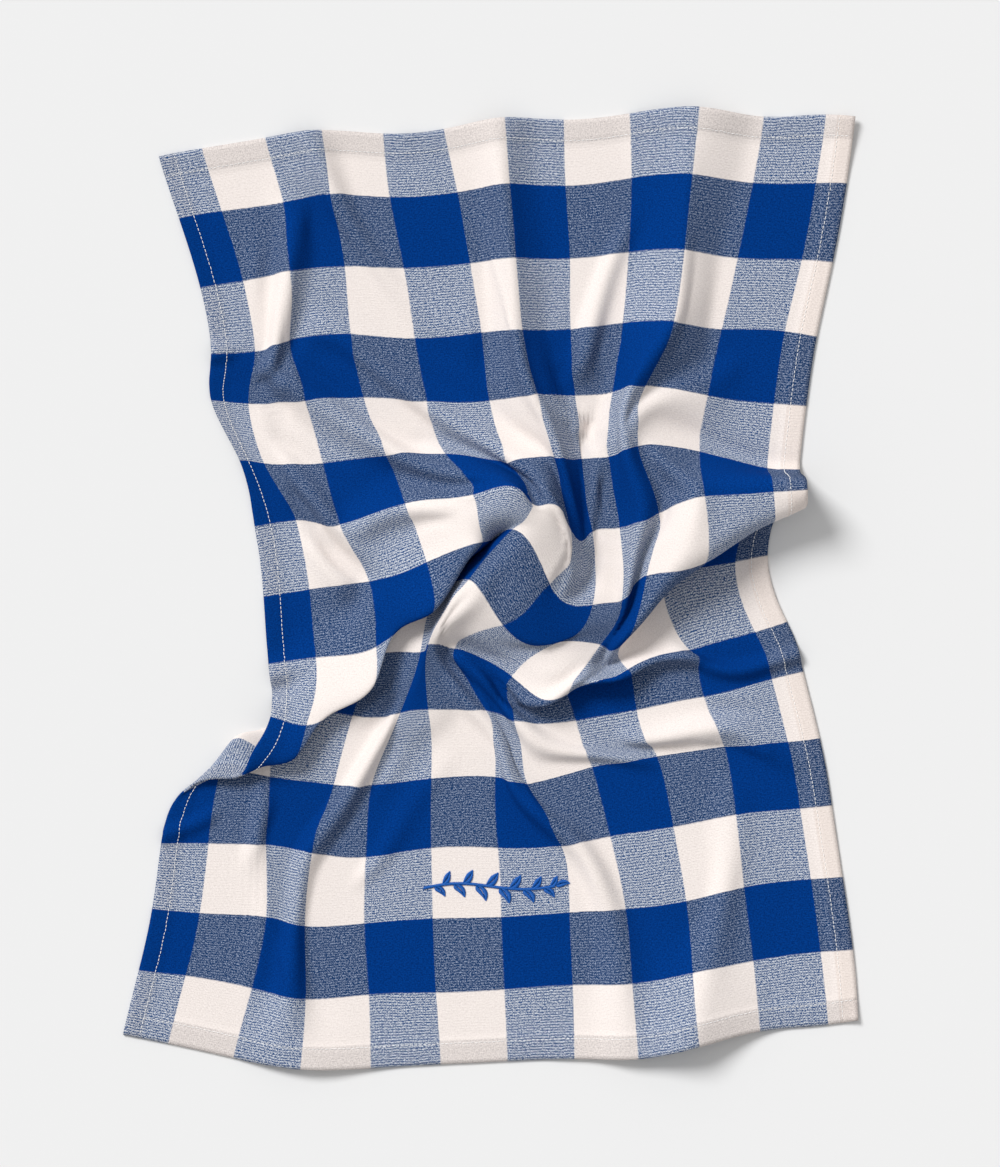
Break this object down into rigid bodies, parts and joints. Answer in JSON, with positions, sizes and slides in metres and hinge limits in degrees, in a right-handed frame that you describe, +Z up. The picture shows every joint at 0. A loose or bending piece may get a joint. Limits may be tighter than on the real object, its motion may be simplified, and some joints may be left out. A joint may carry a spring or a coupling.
{
  "type": "tea towel",
  "caption": "Gingham cotton tea towel with narrow stitched hems, lying loosely crumpled with folds twisted towards its middle.",
  "frame": {"origin": "middle of the lying towel's base, on the surface that it lies on", "axes": "+Y towards the plain short edge, along the towel's length as it lies; +X towards its right long edge seen from above; +Z up"},
  "size_m": [0.4662, 0.611, 0.0398],
  "materials": {
    "cloth": "plain-woven cotton in a blue and white check, matt"
  },
  "bodies": {
    "root": {"towel": "cloth"}
  },
  "joints": []
}
